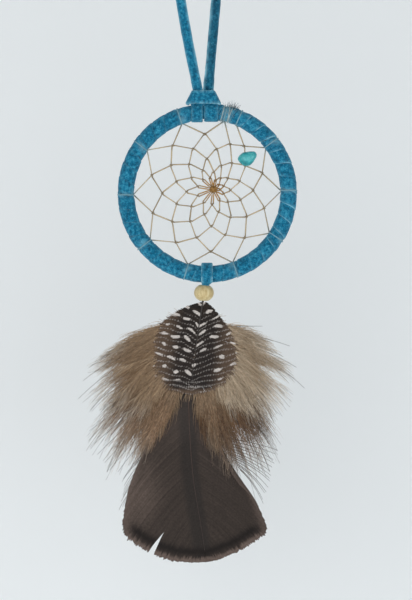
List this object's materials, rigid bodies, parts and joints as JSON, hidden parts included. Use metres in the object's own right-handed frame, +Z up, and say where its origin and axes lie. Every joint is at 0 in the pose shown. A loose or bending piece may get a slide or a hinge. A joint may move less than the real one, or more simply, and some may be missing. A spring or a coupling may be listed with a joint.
{
  "type": "dream catcher",
  "caption": "Suede-wrapped hoop with a spiral thread web and a turquoise chip, hung from a suede loop, with a wooden bead and feathers hanging below.",
  "frame": {"origin": "inside the top of the hanging loop, just under its knot, where a nail or hook carries it", "axes": "+Z up, +X to the right as seen from the front, -Y to the front; the hoop lies in the XZ plane"},
  "size_m": [0.076, 0.011, 0.2596],
  "materials": {
    "suede": "napped teal suede",
    "steel": "plain wire",
    "thread": "waxed tan thread",
    "turquoise": "tumbled, polished",
    "wood": "pale, unvarnished",
    "guinea": "feather barbs, white spots",
    "turkey": "feather barbs, dark brown",
    "down": "fluffy brown down",
    "quill": "horn-like, satin"
  },
  "bodies": {
    "hanging_loop": {"loop_strand_left": "suede", "loop_strand_right": "suede", "loop_knot": "suede", "loop_tail_left": "suede", "loop_tail_right": "suede"},
    "loop_hitch": {"hitch_turn_left": "suede", "hitch_turn_right": "suede", "hitch_crossbar": "suede"},
    "hoop": {"hoop_core": "steel", "suede_wrap": "suede", "web_net": "thread", "web_hitch_01": "thread", "web_hitch_02": "thread", "web_hitch_03": "thread", "web_hitch_04": "thread", "web_hitch_05": "thread", "web_hitch_06": "thread", "web_hitch_07": "thread", "web_hitch_08": "thread", "web_hitch_09": "thread", "web_hitch_10": "thread", "web_hitch_11": "thread", "web_start_knot": "thread", "web_centre_knot": "thread"},
    "chip": {"turquoise_chip": "turquoise"},
    "drop_loop": {"drop_lace": "suede"},
    "tassel": {"wooden_bead": "wood", "lace_end": "suede"},
    "guinea_feather": {"guinea_shaft": "quill", "guinea_vane_left": "guinea", "guinea_vane_right": "guinea", "guinea_down_left": "down", "guinea_down_right": "down"},
    "turkey_feather": {"turkey_shaft": "quill", "turkey_vane_left": "turkey", "turkey_vane_right": "turkey", "turkey_down_left": "down", "turkey_down_right": "down", "turkey_after_feather": "down"}
  },
  "joints": [
    {"name": "loop_swing", "type": "hinge", "parent": "hanging_loop", "child": "loop_hitch", "pos_m": [0.0025, -0.003, -0.07595], "axis": [0, 1, 0], "range_deg": [-10, 10]},
    {"name": "hoop_tilt", "type": "hinge", "parent": "loop_hitch", "child": "hoop", "pos_m": [0.004, 0, -0.0813], "axis": [1, 0, 0], "range_deg": [-25, 25]},
    {"name": "chip_slide", "type": "slide", "parent": "hoop", "child": "chip", "axis": [-0.0454, -0.1043, 0.9935], "range_m": [0, 0.0012]},
    {"name": "drop_tilt", "type": "hinge", "parent": "hoop", "child": "drop_loop", "pos_m": [0.00385, 0, -0.1387], "axis": [1, 0, 0], "range_deg": [-30, 30]},
    {"name": "drop_swing", "type": "hinge", "parent": "drop_loop", "child": "tassel", "pos_m": [0.0031, 0, -0.1424], "axis": [0, 1, 0], "range_deg": [-12, 12]},
    {"name": "guinea_swing", "type": "hinge", "parent": "tassel", "child": "guinea_feather", "pos_m": [0.0026, -0.00065, -0.148], "axis": [0, 1, 0], "range_deg": [-8, 8]},
    {"name": "turkey_swing", "type": "hinge", "parent": "tassel", "child": "turkey_feather", "pos_m": [0.0026, 0.00065, -0.148], "axis": [0, 1, 0], "range_deg": [-8, 8]}
  ]
}
